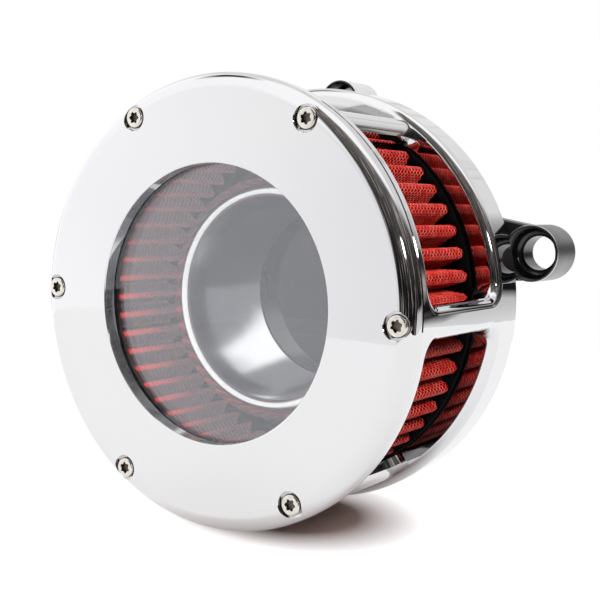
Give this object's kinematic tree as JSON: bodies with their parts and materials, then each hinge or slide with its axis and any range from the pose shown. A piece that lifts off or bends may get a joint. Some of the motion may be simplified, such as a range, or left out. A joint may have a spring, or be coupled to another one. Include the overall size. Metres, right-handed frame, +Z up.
{
  "type": "motorcycle air filter",
  "caption": "Round open-element air filter: mirror-chrome cage and windowed cover, red pleated element, velocity stack and black backplate with head-bolt bosses.",
  "frame": {"origin": "centre of the bounding box; the filter axis runs along Y through x = -7.4 mm, z = -2.4 mm", "axes": "+Z up as the filter stands on its rim, +Y along the filter axis towards the engine, so the cover and its window face -Y, +X to the right seen from the cover side"},
  "size_m": [0.1828, 0.103, 0.1728],
  "materials": {
    "chrome": "polished",
    "lens": "gloss",
    "rubber": "satin",
    "urethane": "matte",
    "spring_steel": "satin",
    "stainless": "satin",
    "gauze": "matte",
    "polished_aluminium": "polished",
    "black_anodised": "satin"
  },
  "bodies": {
    "engine_side": {"backplate": "black_anodised", "filter_housing": "chrome", "velocity_stack": "polished_aluminium", "stack_o_ring": "rubber", "housing_o_ring": "rubber", "throttle_o_ring": "rubber", "housing_screw_1": "stainless", "housing_screw_2": "stainless", "housing_screw_3": "stainless", "housing_screw_4": "stainless", "housing_screw_5": "stainless", "housing_screw_6": "stainless", "stack_screw_1": "stainless", "stack_screw_2": "stainless", "stack_screw_3": "stainless"},
    "cover": {"cover_ring": "chrome", "cover_lens": "lens", "lens_gasket": "rubber", "lens_retaining_ring": "spring_steel"},
    "element": {"filter_media": "gauze", "filter_front_cap": "urethane", "filter_rear_cap": "urethane"},
    "cover_screw_1": {"cover_screw_1": "stainless"},
    "cover_screw_2": {"cover_screw_2": "stainless"},
    "cover_screw_3": {"cover_screw_3": "stainless"},
    "cover_screw_4": {"cover_screw_4": "stainless"},
    "cover_screw_5": {"cover_screw_5": "stainless"},
    "cover_screw_6": {"cover_screw_6": "stainless"}
  },
  "joints": [
    {"name": "cover_off", "type": "slide", "parent": "engine_side", "child": "cover", "axis": [0, -1, 0], "range_m": [0, 0.15]},
    {"name": "element_out", "type": "slide", "parent": "engine_side", "child": "element", "axis": [0, -1, 0], "range_m": [0, 0.075]},
    {"name": "screw_1_out", "type": "slide", "parent": "cover", "child": "cover_screw_1", "axis": [0, -1, 0], "range_m": [0, 0.0125]},
    {"name": "screw_2_out", "type": "slide", "parent": "cover", "child": "cover_screw_2", "axis": [0, -1, 0], "range_m": [0, 0.0125]},
    {"name": "screw_3_out", "type": "slide", "parent": "cover", "child": "cover_screw_3", "axis": [0, -1, 0], "range_m": [0, 0.0125]},
    {"name": "screw_4_out", "type": "slide", "parent": "cover", "child": "cover_screw_4", "axis": [0, -1, 0], "range_m": [0, 0.0125]},
    {"name": "screw_5_out", "type": "slide", "parent": "cover", "child": "cover_screw_5", "axis": [0, -1, 0], "range_m": [0, 0.0125]},
    {"name": "screw_6_out", "type": "slide", "parent": "cover", "child": "cover_screw_6", "axis": [0, -1, 0], "range_m": [0, 0.0125]}
  ],
  "couplings": [
    {"joint": "element_out", "follows": "cover_off", "ratio": 0.5}
  ]
}
